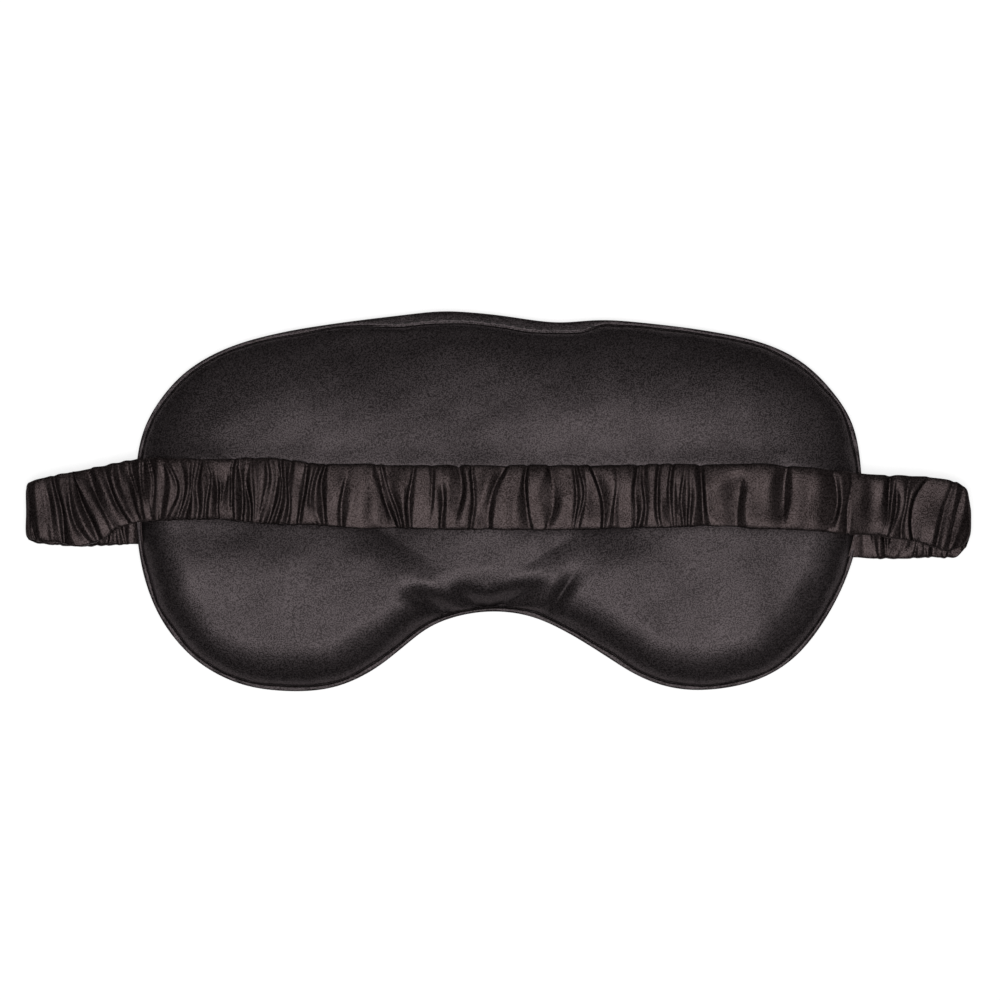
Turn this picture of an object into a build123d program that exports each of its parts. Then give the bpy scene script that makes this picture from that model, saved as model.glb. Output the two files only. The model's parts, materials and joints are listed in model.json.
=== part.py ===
from build123d import *
import os

# A padded satin sleep mask with a gathered elastic head strap.
# It lies with its face side up: +X across the mask, +Y to the forehead edge,
# +Z out of the face side. The origin is under the middle, on the surface it rests on.
# All sizes are in millimetres.

# Mask body
OUTLINE_RIGHT = [          # right half of the outline, forehead middle to nose notch
    (0.0, 54.5), (30.0, 53.7), (60.0, 49.8), (84.0, 42.2), (98.0, 28.5),
    (104.6, 10.0), (104.6, -9.0), (99.0, -28.0), (87.0, -44.6), (70.0, -53.1),
    (55.0, -54.4), (40.0, -50.2), (24.0, -39.4), (12.0, -33.6), (0.0, -31.7),
]
OUTLINE_SAMPLES = 40       # points that an inset copy of the outline is drawn through
CLOTH = 0.6                # satin panel with its backing
LINER = 0.4                # opaque lining between the two waddings
SEAM_LOW = 3.0             # underside of the lining, where it is caught in the rim seam
SEAM_HIGH = SEAM_LOW + LINER
CLEAR = 0.05               # air between a wadding and the cloth round it
# Each dome: how far inside the outline its skin is at each height.
FACE_DOME = [(1.6, SEAM_HIGH), (2.2, 5.4), (4.4, 7.9), (8.5, 9.4), (14.0, 10.0)]
FRONT_DOME = [(1.6, SEAM_LOW), (2.4, 1.9), (4.6, 0.8), (9.0, 0.0)]

# Thread
SEAM_INSET = 0.9           # rim seam, inside the outline
THREAD = 0.5
SEAM_HALF_HEIGHT = 0.4
LINER_INSET = SEAM_INSET + THREAD
STITCH = 2.2               # closing stitches over the turning gap at the forehead edge
STITCH_PITCH = 3.2
STITCH_COUNT = 19
TACK_COUNT = 5             # stitches that hold each strap end flat in the seam
TACK_PITCH = 3.6
TACK_INSIDE = 4.4          # tack row, inside the end of the tab

# Strap: a flat gathered casing round a band of elastic
STRAP_WIDTH = 19.0
STRAP_THICK = 2.4
CASING_WALL = 0.5
CASING_CORNER = 1.1
HOLLOW_CORNER = 0.6
ELASTIC_WIDTH = 15.0
ELASTIC_THICK = 0.9
ELASTIC_CORNER = 0.3
TAB_END = 105.0            # where the strap leaves the side seam
TAB_LENGTH = 8.0
TAB_THICK = 1.0
TAB_Y = -6.0
TAB_WALL = 0.3

# Strap pivots, all parallel to Y and the same on both sides
HINGE_GAP = 0.3            # strap cloth stops this far from a pivot at the seam
FOLD_GAP = 0.2             # and this far from the pivot in the fold
SEAM_PIVOT = (105.3, 3.4)  # x and z: strap against the side seam
BAND_PIVOT = (105.3, 6.8)  # strap run against the band over the mask
FOLD_X = 136.0
FOLD_PIVOT = (FOLD_X, (SEAM_PIVOT[1] + BAND_PIVOT[1]) / 2)
FOLD_Y = -4.3
BAND_EDGE_Y = -1.3
REST_GAP = 0.3             # strap over the face panel
BAND_REST = FACE_DOME[-1][1] + REST_GAP
MIDDLE_GAP = 0.15          # each half band stops this far from the middle
# The band climbs over the mask's shoulder and crosses it: x, y and height of its underside.
BAND_CLIMB = [(99.5, -0.8, 9.4), (90.0, 0.4, BAND_REST), (MIDDLE_GAP, 1.0, BAND_REST)]


def closed_curve(points):
    return Spline(*points, periodic=True)


def rim_curve():
    """The mask's edge, counter-clockwise from the middle of the forehead edge."""
    forehead, *right, notch = OUTLINE_RIGHT
    left = [(-x, y) for x, y in right]
    return closed_curve([forehead, *left, notch, *reversed(right)])


RIM = rim_curve()


def rim_point(share, inset):
    """A point inset from the rim, at a share of the way round it, and the way along there."""
    spot = RIM.position_at(share)
    along = RIM.tangent_at(share)
    inward = Vector(-along.Y, along.X)
    return spot + inward * inset, along


def outline_face(inset, height):
    """The flat outline, moved inwards and lifted to a height."""
    shares = [i / OUTLINE_SAMPLES for i in range(OUTLINE_SAMPLES)]
    points = [rim_point(share, inset)[0] + Vector(0, 0, height) for share in shares]
    return make_face(closed_curve(points).edge())


def slab(inset, low, high):
    return extrude(outline_face(inset, low), high - low, dir=(0, 0, 1))


def dome(sections, inset=0.0, lower=0.0):
    """A pillow side through its sections, or a smaller one that fits inside it.

    The first section, at the seam, keeps its height.
    """
    faces = [outline_face(sections[0][0] + inset, sections[0][1])]
    faces += [outline_face(side + inset, height - lower) for side, height in sections[1:]]
    return loft(faces)


def box(x, y, z):
    """A box from its (low, high) pair along each axis."""
    middle = [(low + high) / 2 for low, high in (x, y, z)]
    size = [high - low for low, high in (x, y, z)]
    return Pos(*middle) * Box(*size)


def rim_seam():
    middle = (SEAM_LOW + SEAM_HIGH) / 2
    low, high = middle - SEAM_HALF_HEIGHT, middle + SEAM_HALF_HEIGHT
    return slab(SEAM_INSET, low, high) - slab(SEAM_INSET + THREAD, low, high)


def closing_stitches():
    """A row of stitches on the rim, across the middle of the forehead edge."""
    row = []
    for i in range(STITCH_COUNT):
        step = (i - (STITCH_COUNT - 1) / 2) * STITCH_PITCH
        spot, along = rim_point((step / RIM.length) % 1.0, FACE_DOME[0][0] / 2)
        turn = Rot(0, 0, Vector(1, 0).get_signed_angle(along))
        place = Pos(spot.X, spot.Y, SEAM_HIGH + CLOTH + THREAD / 2)
        row.append(place * turn * Box(STITCH, THREAD, THREAD))
    return Compound(children=row)


def tab():
    """The strap's flattened end between the panels, right side: casing, elastic, tacks."""
    middle = (SEAM_LOW + SEAM_HIGH) / 2
    x = (TAB_END - TAB_LENGTH, TAB_END)
    y = (TAB_Y - STRAP_WIDTH / 2, TAB_Y + STRAP_WIDTH / 2)
    whole = box(x, y, (middle - TAB_THICK / 2, middle + TAB_THICK / 2))
    half_elastic = TAB_THICK / 2 - TAB_WALL
    elastic_y = (TAB_Y - ELASTIC_WIDTH / 2, TAB_Y + ELASTIC_WIDTH / 2)
    elastic = box(x, elastic_y, (middle - half_elastic, middle + half_elastic))
    tack_x = TAB_END - TACK_INSIDE
    tacks = []
    for i in range(TACK_COUNT):
        y_mid = TAB_Y + (i - (TACK_COUNT - 1) / 2) * TACK_PITCH
        tacks.append(box((tack_x, tack_x + THREAD), (y_mid - STITCH / 2, y_mid + STITCH / 2),
                         (middle - TAB_THICK / 2 - THREAD / 2,
                          middle + TAB_THICK / 2 + THREAD / 2)))
    return whole, elastic, Compound(children=tacks)


def strap_section(station, width, thick, lift, corner):
    """A flat rounded section across the strap at a station (x, y, height of its underside)."""
    x, y, under = station
    across = Plane(origin=(x, y, under + lift + thick / 2), x_dir=(0, 1, 0), z_dir=(1, 0, 0))
    return across * RectangleRounded(width, thick, corner)


def strap_tube(stations, width, thick, lift, corner):
    sections = [strap_section(s, width, thick, lift, corner) for s in stations]
    return loft(sections, ruled=True)


def strap_piece(stations):
    """Casing and elastic of one length of strap, right side."""
    hollow_thick = STRAP_THICK - 2 * CASING_WALL
    hollow_width = STRAP_WIDTH - 2 * CASING_WALL
    hollow = strap_tube(stations, hollow_width, hollow_thick, CASING_WALL, HOLLOW_CORNER)
    outer = strap_tube(stations, STRAP_WIDTH, STRAP_THICK, 0.0, CASING_CORNER)
    elastic_lift = (STRAP_THICK - ELASTIC_THICK) / 2
    elastic = strap_tube(stations, ELASTIC_WIDTH, ELASTIC_THICK, elastic_lift, ELASTIC_CORNER)
    return outer - hollow, elastic


def strap_lengths():
    """Stations of the three moving lengths of strap, right side."""
    seam_x, seam_z = SEAM_PIVOT
    band_x, band_z = BAND_PIVOT
    fold_z = FOLD_PIVOT[1]
    end = [(seam_x + HINGE_GAP, TAB_Y, seam_z - STRAP_THICK),
           (FOLD_X, FOLD_Y, fold_z - FOLD_GAP - STRAP_THICK)]
    run = [(FOLD_X, FOLD_Y, fold_z + FOLD_GAP),
           (band_x + HINGE_GAP, BAND_EDGE_Y, band_z)]
    band = [(band_x - HINGE_GAP, BAND_EDGE_Y, band_z), *BAND_CLIMB]
    return {"end": end, "run": run, "band": band}


def mask_pieces(seam, tabs, tacks):
    """The sewn mask body, with pockets for the strap's ends in its side seams."""
    face_skin = slab(0.0, SEAM_HIGH, SEAM_HIGH + CLOTH) + dome(FACE_DOME)
    front_skin = slab(0.0, SEAM_LOW - CLOTH, SEAM_LOW) + dome(FRONT_DOME)
    inner = CLOTH + CLEAR
    pieces = {
        "face_panel": face_skin - dome(FACE_DOME, CLOTH, CLOTH),
        "front_panel": front_skin - dome(FRONT_DOME, CLOTH, -CLOTH),
        "face_wadding": dome(FACE_DOME, inner, inner),
        "front_wadding": dome(FRONT_DOME, inner, -inner),
        "light_block_liner": slab(LINER_INSET, SEAM_LOW, SEAM_HIGH),
    }
    for name, piece in pieces.items():
        for tool in [seam, *tabs, *tacks]:
            piece = piece - tool
        pieces[name] = piece
    return pieces


def both_sides(shape):
    return [shape, mirror(shape, about=Plane.YZ)]


def build():
    """Every node of the mask, by name."""
    casing_tab, elastic_tab, tacks = tab()
    seam = rim_seam()
    right = {
        "strap_tab": casing_tab - elastic_tab - tacks - seam,
        "elastic_tab": elastic_tab - tacks,
        "strap_tack": tacks,
    }
    for name, stations in strap_lengths().items():
        right["casing_" + name], right["elastic_" + name] = strap_piece(stations)
    for elastic in both_sides(elastic_tab):
        seam = seam - elastic
    pieces = mask_pieces(seam, both_sides(casing_tab), both_sides(tacks))
    pieces["perimeter_seam"] = seam
    pieces["closing_stitches"] = closing_stitches()
    for name, piece in right.items():
        for side, shape in zip(("right", "left"), both_sides(piece)):
            pieces[f"{name}_{side}"] = shape
    return pieces


os.makedirs("parts", exist_ok=True)
for node, shape in build().items():
    export_step(shape, f"parts/{node}.step")
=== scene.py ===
import json
import math
import bpy
import numpy as np
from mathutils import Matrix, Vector


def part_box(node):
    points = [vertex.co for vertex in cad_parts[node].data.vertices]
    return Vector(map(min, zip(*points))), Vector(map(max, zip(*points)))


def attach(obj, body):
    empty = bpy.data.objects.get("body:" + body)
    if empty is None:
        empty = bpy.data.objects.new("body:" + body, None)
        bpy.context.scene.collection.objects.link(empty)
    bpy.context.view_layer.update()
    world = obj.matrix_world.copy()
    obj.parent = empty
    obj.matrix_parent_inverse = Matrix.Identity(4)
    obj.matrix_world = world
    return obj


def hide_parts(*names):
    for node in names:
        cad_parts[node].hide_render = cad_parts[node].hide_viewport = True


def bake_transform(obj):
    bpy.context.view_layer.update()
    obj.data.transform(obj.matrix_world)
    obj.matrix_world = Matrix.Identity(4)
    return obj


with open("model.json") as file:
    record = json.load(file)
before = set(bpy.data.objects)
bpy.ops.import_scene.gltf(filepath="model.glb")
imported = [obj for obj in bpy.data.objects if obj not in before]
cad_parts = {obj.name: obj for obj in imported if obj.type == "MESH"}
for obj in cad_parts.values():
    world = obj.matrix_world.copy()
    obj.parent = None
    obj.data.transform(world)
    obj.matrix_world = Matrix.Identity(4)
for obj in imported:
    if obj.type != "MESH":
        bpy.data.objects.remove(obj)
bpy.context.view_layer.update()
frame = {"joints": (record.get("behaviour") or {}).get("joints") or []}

# A padded satin sleep mask, face side up, with a gathered elastic strap folded across it.
# Shapes are worked out in millimetres, in the row frame, and become metres in mesh_object.
MM = 0.001
TAU = 2 * math.pi
PIVOT = {j["name"]: [c / MM for c in j["pos_m"]] for j in frame["joints"]}
SEAM_X = PIVOT["strap_lift_right"][0]
FOLD_X, _, FOLD_Z = PIVOT["strap_fold_right"]


# ---------------------------------------------------------------- helpers

def ramp(low, high, x):
    """0 below low, 1 above high, and smooth between them."""
    t = np.clip((x - low) / (high - low), 0, 1)
    return t * t * (3 - 2 * t)


def ripple(x, y, length, seed, count=9):
    """Smooth noise of about unit size, with bumps about one length apart."""
    draw = np.random.default_rng(seed)
    total = 0
    for _ in range(count):
        angle, phase, rate = draw.uniform(0, TAU), draw.uniform(0, TAU), draw.uniform(0.6, 1.5)
        along = x * math.cos(angle) + y * math.sin(angle)
        total = total + np.cos(along * TAU * rate / length + phase)
    return total * math.sqrt(2 / count)


def catmull_rom(points, closed, per_span=40):
    """A smooth line through the points, as many points."""
    p = np.asarray(points, float)
    if closed:
        ext = np.vstack([p[-1:], p, p[:2]])
    else:
        ext = np.vstack([2 * p[:1] - p[1:2], p, 2 * p[-1:] - p[-2:-1]])
    t = np.linspace(0, 1, per_span, endpoint=False)[:, None]
    spans = []
    for i in range(len(ext) - 3):
        a, b, c, d = ext[i:i + 4]
        spans.append(0.5 * (2 * b + (c - a) * t + (2 * a - 5 * b + 4 * c - d) * t ** 2
                            + (3 * b - a - 3 * c + d) * t ** 3))
    line = np.vstack(spans)
    return line if closed else np.vstack([line, p[-1:]])


def lengths_along(line):
    return np.concatenate([[0], np.cumsum(np.linalg.norm(np.diff(line, axis=0), axis=1))])


def at_lengths(line, where):
    """Points of a line at the given lengths along it."""
    along = lengths_along(line)
    return np.stack([np.interp(where, along, line[:, k]) for k in range(line.shape[1])], axis=1)


def unit(v):
    return v / np.maximum(np.linalg.norm(v, axis=-1, keepdims=True), 1e-12)


def mesh_object(name, points, faces, material, normals=None):
    """A smooth mesh object from points in millimetres."""
    mesh = bpy.data.meshes.new(name)
    mesh.from_pydata((np.asarray(points) * MM).tolist(), [], faces)
    mesh.polygons.foreach_set("use_smooth", np.ones(len(mesh.polygons), bool))
    mesh.update()
    if normals is not None:
        mesh.normals_split_custom_set_from_vertices(unit(np.asarray(normals)).tolist())
    mesh.materials.append(material)
    obj = bpy.data.objects.new(name, mesh)
    bpy.context.scene.collection.objects.link(obj)
    return obj


# ---------------------------------------------------------------- materials

def nodes_of(name):
    material = bpy.data.materials.new(name)
    material.use_nodes = True
    tree = material.node_tree
    shader = tree.nodes["Principled BSDF"]
    return material, tree, shader


def noise(tree, scale, detail=2.0, rough=0.5, stretch=(1, 1, 1)):
    """Fac of a noise texture in object coordinates, its scale in cycles per metre."""
    coords = tree.nodes.new("ShaderNodeTexCoord")
    mapping = tree.nodes.new("ShaderNodeMapping")
    mapping.inputs["Scale"].default_value = stretch
    texture = tree.nodes.new("ShaderNodeTexNoise")
    texture.inputs["Scale"].default_value = scale
    texture.inputs["Detail"].default_value = detail
    texture.inputs["Roughness"].default_value = rough
    tree.links.new(coords.outputs["Object"], mapping.inputs["Vector"])
    tree.links.new(mapping.outputs["Vector"], texture.inputs["Vector"])
    return texture.outputs["Fac"]


def math_node(tree, operation, a, b):
    node = tree.nodes.new("ShaderNodeMath")
    node.operation = operation
    for socket, value in zip(node.inputs, (a, b)):
        if isinstance(value, (int, float)):
            socket.default_value = value
        else:
            tree.links.new(value, socket)
    return node.outputs[0]


def weighed(tree, a, share_a, b, share_b):
    """The sum of two values, each times its share."""
    return math_node(tree, "ADD", math_node(tree, "MULTIPLY", a, share_a),
                     math_node(tree, "MULTIPLY", b, share_b))


def spread(tree, value, low, high, least=0.25, most=0.75):
    """A value between least and most, noise's unless given, spread from low to high."""
    node = tree.nodes.new("ShaderNodeMapRange")
    node.inputs["From Min"].default_value = least
    node.inputs["From Max"].default_value = most
    node.inputs["To Min"].default_value = low
    node.inputs["To Max"].default_value = high
    tree.links.new(value, node.inputs["Value"])
    return node.outputs["Result"]


def tinted(tree, value, dark, light):
    """A colour between dark and light as value goes from 0 to 1."""
    node = tree.nodes.new("ShaderNodeMix")
    node.data_type = "RGBA"
    node.inputs["A"].default_value = (*dark, 1)
    node.inputs["B"].default_value = (*light, 1)
    tree.links.new(value, node.inputs["Factor"])
    return node.outputs["Result"]


def bump(tree, shader, height, distance):
    node = tree.nodes.new("ShaderNodeBump")
    node.inputs["Strength"].default_value = 1.0
    node.inputs["Distance"].default_value = distance
    tree.links.new(height, node.inputs["Height"])
    tree.links.new(node.outputs["Normal"], shader.inputs["Normal"])


FINE_GRAIN, COARSE_GRAIN = 3300, 2000    # satin's grain, in cycles per metre
MOTTLE_RANGE = (0.39, 0.61)              # what the mixed grain's values mostly lie between
GRAIN_DEPTH = 0.00005


def satin(name, dark, light, rough, blotch=70):
    """Satin: long glossy floats over near-black cloth.

    Most of the gloss takes the cloth's own colour and stays low at grazing angles, and it
    breaks up into the fine grain of the weave. Blotch is its broad unevenness, in cycles
    per metre.
    """
    material, tree, shader = nodes_of(name)
    fine = noise(tree, FINE_GRAIN, detail=0.0)
    coarse = noise(tree, COARSE_GRAIN, detail=0.0)
    broad = noise(tree, blotch, detail=3.0)
    grain = weighed(tree, fine, 0.65, coarse, 0.35)
    mottle = weighed(tree, grain, 0.9, broad, 0.1)
    tree.links.new(tinted(tree, spread(tree, mottle, 0.0, 1.0, *MOTTLE_RANGE), dark, light),
                   shader.inputs["Base Color"])
    tree.links.new(spread(tree, grain, *rough), shader.inputs["Roughness"])
    bump(tree, shader, grain, GRAIN_DEPTH)
    shader.inputs["Metallic"].default_value = 0.8
    shader.inputs["Specular Tint"].default_value = (0.35, 0.33, 0.33, 1)
    return material


def plain_cloth(name, dark, light, rough, scale, depth):
    """Matt cloth, fibre or thread with a fuzzy surface."""
    material, tree, shader = nodes_of(name)
    fibre = noise(tree, scale, detail=4.0, rough=0.6)
    tree.links.new(tinted(tree, spread(tree, fibre, 0.0, 1.0), dark, light),
                   shader.inputs["Base Color"])
    vary = 0.08
    tree.links.new(spread(tree, fibre, rough - vary, rough + vary), shader.inputs["Roughness"])
    bump(tree, shader, fibre, depth)
    shader.inputs["Sheen Weight"].default_value = 0.2
    return material


def ribbed_elastic(name):
    """Woven elastic: fine ribs along the band."""
    material, tree, shader = nodes_of(name)
    ribs = noise(tree, 900, detail=1.0, stretch=(0.05, 1, 1))
    tree.links.new(tinted(tree, ribs, (0.016, 0.015, 0.015), (0.05, 0.048, 0.048)),
                   shader.inputs["Base Color"])
    bump(tree, shader, ribs, 0.0003)
    shader.inputs["Roughness"].default_value = 0.75
    return material


PANEL_SATIN = satin("satin_panel", dark=(0.0180, 0.0147, 0.0153),
                    light=(0.0670, 0.0562, 0.0588), rough=(0.34, 0.46))
STRAP_SATIN = satin("satin_strap", dark=(0.0120, 0.0084, 0.0081),
                    light=(0.0455, 0.0352, 0.0353), rough=(0.27, 0.38), blotch=140)
WADDING = plain_cloth("wadding_fibre", (0.55, 0.55, 0.53), (0.85, 0.85, 0.83),
                      rough=0.9, scale=700, depth=0.0006)
LINING = plain_cloth("lining_cloth", (0.008, 0.008, 0.008), (0.02, 0.02, 0.02),
                     rough=0.85, scale=2500, depth=0.0001)
THREAD = plain_cloth("spun_thread", (0.008, 0.006, 0.006), (0.024, 0.018, 0.018),
                     rough=0.7, scale=5000, depth=0.0001)
ELASTIC = ribbed_elastic("elastic_webbing")


# ---------------------------------------------------------------- mask outline

RIM_POINTS = [          # the sewn edge, counter-clockwise from the forehead middle
    (0.4, 53.8), (-9, 54.7), (-17, 55.0), (-29, 53.7), (-46, 51.6), (-63, 48.8), (-78, 44.6),
    (-90, 38.0), (-98.3, 29.0), (-103.4, 19.0), (-105.2, 6.0), (-104.8, -9.0), (-102.4, -23.0),
    (-97.0, -35.5), (-87.5, -46.3), (-75, -53.0), (-61, -55.1), (-48, -54.1), (-37, -49.4),
    (-28, -42.6), (-20, -36.3), (-10, -32.8), (0, -31.9), (10, -33.5), (20, -38.1), (30, -44.2),
    (40, -50.5), (50, -54.1), (61, -54.7), (74, -52.2), (85, -46.0), (94, -35.2), (101, -21.5),
    (104.8, -7.0), (105.2, 6.0), (102.9, 21.5), (96.5, 32.0), (87.5, 40.6), (76, 46.0), (61, 49.2),
    (45, 51.3), (30, 52.5), (18, 51.6), (9, 52.5),
]
POLE_X = 61.0            # the panels' grids close on a line between two poles, under the strap
SIDE_COLUMNS = 330       # columns of the grid along the forehead edge, and along the cheek edge
FAN_COLUMNS = 300        # columns round each temple
RIM_SAMPLES = 2400
RIM_SMOOTHING = 14       # in rim samples
FAR = 1e9                # farther than anything, for points on the wrong side


def rim_line():
    """The rim as evenly spaced points, closed, with the kinks of its points smoothed out."""
    line = catmull_rom(RIM_POINTS, closed=True)
    line = np.vstack([line, line[:1]])
    total = lengths_along(line)[-1]
    even = at_lengths(line, np.linspace(0, total, RIM_SAMPLES, endpoint=False))
    reach = 3 * RIM_SMOOTHING
    weight = np.exp(-0.5 * (np.arange(-reach, reach + 1) / RIM_SMOOTHING) ** 2)
    weight /= weight.sum()
    return sum(w * np.roll(even, k - reach, axis=0) for k, w in enumerate(weight))


RIM = rim_line()
RIM_ALONG = unit(np.roll(RIM, -1, axis=0) - np.roll(RIM, 1, axis=0))
RIM_IN = np.stack([-RIM_ALONG[:, 1], RIM_ALONG[:, 0]], axis=1)
RIM_STEP = float(np.linalg.norm(RIM[1] - RIM[0]))


def rim_index(x, forehead):
    """The rim sample on the forehead or cheek side with this x."""
    side = RIM[:, 1] > 0 if forehead else RIM[:, 1] < 0
    return int(np.argmin(np.where(side, np.abs(RIM[:, 0] - x), FAR)))


def rim_columns():
    """Rim samples of the grid's columns, counter-clockwise, and the spine point of each."""
    corner = [rim_index(-POLE_X, True), rim_index(-POLE_X, False),
              rim_index(POLE_X, False), rim_index(POLE_X, True)]
    counts = [FAN_COLUMNS, SIDE_COLUMNS, FAN_COLUMNS, SIDE_COLUMNS]
    spine = [np.zeros(FAN_COLUMNS), np.arange(SIDE_COLUMNS),
             np.full(FAN_COLUMNS, SIDE_COLUMNS), SIDE_COLUMNS - np.arange(SIDE_COLUMNS)]
    where = []
    for k, count in enumerate(counts):
        start, stop = corner[k], corner[(k + 1) % 4]
        if stop <= start:
            stop += RIM_SAMPLES
        where.append(np.linspace(start, stop, count, endpoint=False))
    return np.concatenate(where) % RIM_SAMPLES, np.concatenate(spine).astype(int)


COLUMN, COLUMN_SPINE = rim_columns()


def on_rim(values, where):
    """Values given at the rim's samples, read at places between them."""
    low = np.floor(where).astype(int) % RIM_SAMPLES
    high = (low + 1) % RIM_SAMPLES
    share = where - np.floor(where)
    share = share[:, None] if values.ndim == 2 else share
    return values[low] * (1 - share) + values[high] * share


# ---------------------------------------------------------------- strap line

# The strap's middle line from the left side seam to the right one: x, y and z.
STRAP_LEFT = [
    (-98.0, -3.6, 3.2), (-103.5, -3.6, 3.15), (-107.5, -3.6, 2.5), (-120.0, -3.6, 2.95),
    (-134.3, -3.4, 3.7), (-135.6, -3.3, 4.3), (-136.1, -3.2, 5.1), (-135.6, -3.1, 5.9),
    (-134.3, -2.9, 6.5), (-127.0, -2.3, 6.9), (-120.5, -2.0, 7.2), (-115.0, 0.2, 7.5),
    (-109.2, 2.0, 7.8), (-104.0, 3.0, 8.4), (-98.0, 3.4, 9.6), (-90.0, 3.4, 10.4),
    (-80.0, 3.3, 10.6), (-66.0, 2.9, 10.6), (-50.0, 1.7, 10.6), (-28.0, 1.2, 10.6),
    (0.0, 1.0, 10.6),
]
STRAP_RIGHT = [
    (28.0, 1.1, 10.6), (56.0, 1.6, 10.6), (70.0, 1.5, 10.6), (80.0, 1.1, 10.6),
    (90.0, 0.5, 10.4), (98.0, -0.3, 9.6), (104.0, -0.9, 8.4), (111.0, -1.4, 7.8),
    (119.0, -2.1, 7.3), (125.0, -3.0, 7.0), (130.5, -4.4, 6.7), (134.3, -5.4, 6.4),
    (135.6, -5.7, 5.9), (136.1, -5.8, 5.1), (135.6, -5.9, 4.3), (134.3, -6.1, 3.7),
    (120.0, -7.2, 2.95), (107.5, -7.4, 2.5), (103.5, -7.4, 3.15), (98.0, -7.4, 3.2),
]
STRAP_STEP = 0.25
AROUND = 104             # points round the casing


def strap_line():
    line = catmull_rom(STRAP_LEFT + STRAP_RIGHT, closed=False)
    total = lengths_along(line)[-1]
    count = int(round(total / STRAP_STEP)) + 1
    where = np.linspace(0, total, count)
    return where, at_lengths(line, where)


STRAP_AT, STRAP_MIDDLE = strap_line()


def upper_band():
    """x and y of the strap's line where it lies over the mask."""
    upper = STRAP_MIDDLE[:, 2] > FOLD_Z
    order = np.argsort(STRAP_MIDDLE[upper, 0])
    return STRAP_MIDDLE[upper, 0][order], STRAP_MIDDLE[upper, 1][order]


BAND_LINE_X, BAND_LINE_Y = upper_band()


# ---------------------------------------------------------------- panels

SEAM_Z = 3.3             # height of the sewn edge
LIP = 1.45               # width of the turned rim, to the ditch beside it
WIDE_LIP = 3.4           # its width along the closed turning gap at the forehead
GAP_START, GAP_END = (-48, -24), (23, 32)    # where it widens and where it narrows, in x
BEAD = 0.42              # how far the turned rim stands from the seam
LIP_TILT = 0.6           # how much higher its ditch side is where it is wide
EDGE_ROUND = 0.5         # how far in from the rim the edge is rounded
DITCH = 0.34             # depth of the ditch along the rim seam
DITCH_HALF = 0.24        # half its width
FACE_PUFF, FRONT_PUFF = 6.9, 3.08
BULGE = 1.8              # how full the padded rise is, from 1, straight
CHEEK_REACH = 12.5       # how far in from the rim the padded rise goes on
FOREHEAD_REACH = 26.0
SLACK_REACH = 13.0       # and how much farther over the forehead, on the left
LEFT_TO_RIGHT, CHEEK_TO_FOREHEAD = (-45, 25), (-5, 34)    # where those change, in x and in y
RIM_RINGS = [0, 0.06, 0.16, 0.3, 0.46, 0.62, 0.8, 0.95, 1.08, 1.2, 1.3, 1.38, 1.45, 1.52, 1.62,
             1.76, 1.95, 2.2, 2.5, 2.9, 3.4, 4.0, 4.7, 5.5, 6.4, 7.4, 8.5, 9.7, 11.0, 12.4]
INNER_RINGS = 56
SPINE_Y, SPINE_RISE, SPINE_SPAN = 1.5, 9.0, 24    # the line between the poles, and its hump


def lip_width():
    """Width of the turned rim at each rim sample."""
    x, y = RIM[:, 0], RIM[:, 1]
    gap = ramp(*GAP_START, x) * (1 - ramp(*GAP_END, x)) * (y > 0)
    wave = 0.12 * ripple(x, y, 17, 5)
    return LIP + (WIDE_LIP - LIP) * gap + wave


def face_reach():
    """How far in from each rim sample the face panel's rise goes on."""
    x, y = RIM[:, 0], RIM[:, 1]
    slack = SLACK_REACH * (1 - ramp(*LEFT_TO_RIGHT, x))
    return CHEEK_REACH + (FOREHEAD_REACH - CHEEK_REACH + slack) * ramp(*CHEEK_TO_FOREHEAD, y)


LIP_AT = lip_width()
LIP_RISE = LIP_TILT * np.clip((LIP_AT - LIP) / (WIDE_LIP - LIP), 0, 1)
FACE_REACH_AT = face_reach()


def to_rim(x, y):
    """Distance to the rim and the nearest rim sample, for many points, a batch at a time."""
    step, batch = 4, 8000
    coarse = RIM[::step]
    near = np.empty(len(x), int)
    dist = np.empty(len(x))
    for first in range(0, len(x), batch):
        some = slice(first, first + batch)
        dx = x[some, None] - coarse[None, :, 0]
        dy = y[some, None] - coarse[None, :, 1]
        square = dx * dx + dy * dy
        best = square.argmin(axis=1)
        near[some] = best * step
        dist[some] = np.sqrt(square[np.arange(len(best)), best])
    return dist, near


def panel_grid():
    """The grid that both panels share.

    It gives x and y of every point, its place in from the rim, as if the turned rim had one
    width all round, the nearest rim sample, and the faces. Its last points are the spine's.
    """
    base, inward = on_rim(RIM, COLUMN), unit(on_rim(RIM_IN, COLUMN))
    lip = on_rim(LIP_AT, COLUMN)
    rings, across = [], []
    for ring in RIM_RINGS:
        inset = ring * lip / LIP if ring < LIP else lip + ring - LIP
        rings.append(base + inward * inset[:, None])
        across.append(np.full(len(COLUMN), ring))
    last = rings[-1]
    spine_x = np.linspace(-POLE_X, POLE_X, SIDE_COLUMNS + 1)
    spine_y = SPINE_Y + SPINE_RISE * np.exp(-(spine_x / SPINE_SPAN) ** 2)
    spine = np.stack([spine_x, spine_y], axis=1)
    target = spine[COLUMN_SPINE]
    for k in range(1, INNER_RINGS):
        rings.append(last + (target - last) * k / INNER_RINGS)
    xy = np.vstack(rings + [spine])
    inner = len(RIM_RINGS) * len(COLUMN)
    near = np.tile(np.round(COLUMN).astype(int) % RIM_SAMPLES, len(RIM_RINGS))
    dist_in, near_in = to_rim(xy[inner:, 0], xy[inner:, 1])
    near = np.concatenate([near, near_in])
    ring_at = np.concatenate([np.concatenate(across), dist_in - LIP_AT[near_in] + LIP])
    return xy, ring_at, near, panel_faces(len(rings))


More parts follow.
